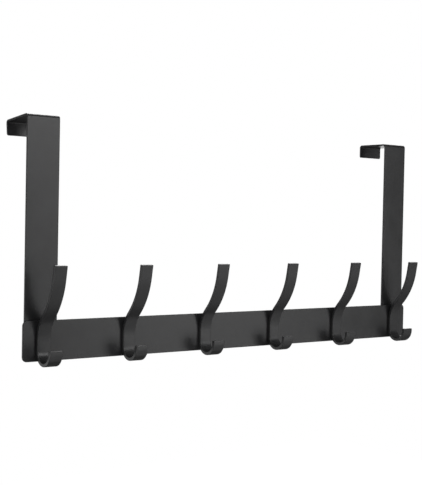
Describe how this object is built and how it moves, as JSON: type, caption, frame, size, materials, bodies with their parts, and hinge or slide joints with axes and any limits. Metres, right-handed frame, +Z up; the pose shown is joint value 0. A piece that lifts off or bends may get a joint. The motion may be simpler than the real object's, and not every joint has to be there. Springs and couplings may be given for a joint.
{
  "type": "over door hook",
  "caption": "Flat steel rail with double coat hooks, hung from a door's top by two bent strip hangers, in satin black powder coat.",
  "frame": {"origin": "front edge of the door's top, midway between the two hangers: the legs' back faces are in Y = 0 and the right top plate's underside is in Z = 0", "axes": "+X along the rail to the right as the viewer faces the hooks, +Y through the door to its back, +Z up"},
  "size_m": [0.538, 0.0805, 0.2437],
  "materials": {
    "powder_coated_steel": "satin black powder coat, finely textured"
  },
  "bodies": {
    "root": {"rail": "powder_coated_steel", "left_door_hanger": "powder_coated_steel", "right_door_hanger": "powder_coated_steel", "hook_1": "powder_coated_steel", "hook_2": "powder_coated_steel", "hook_3": "powder_coated_steel", "hook_4": "powder_coated_steel", "hook_5": "powder_coated_steel", "hook_6": "powder_coated_steel"}
  },
  "joints": []
}
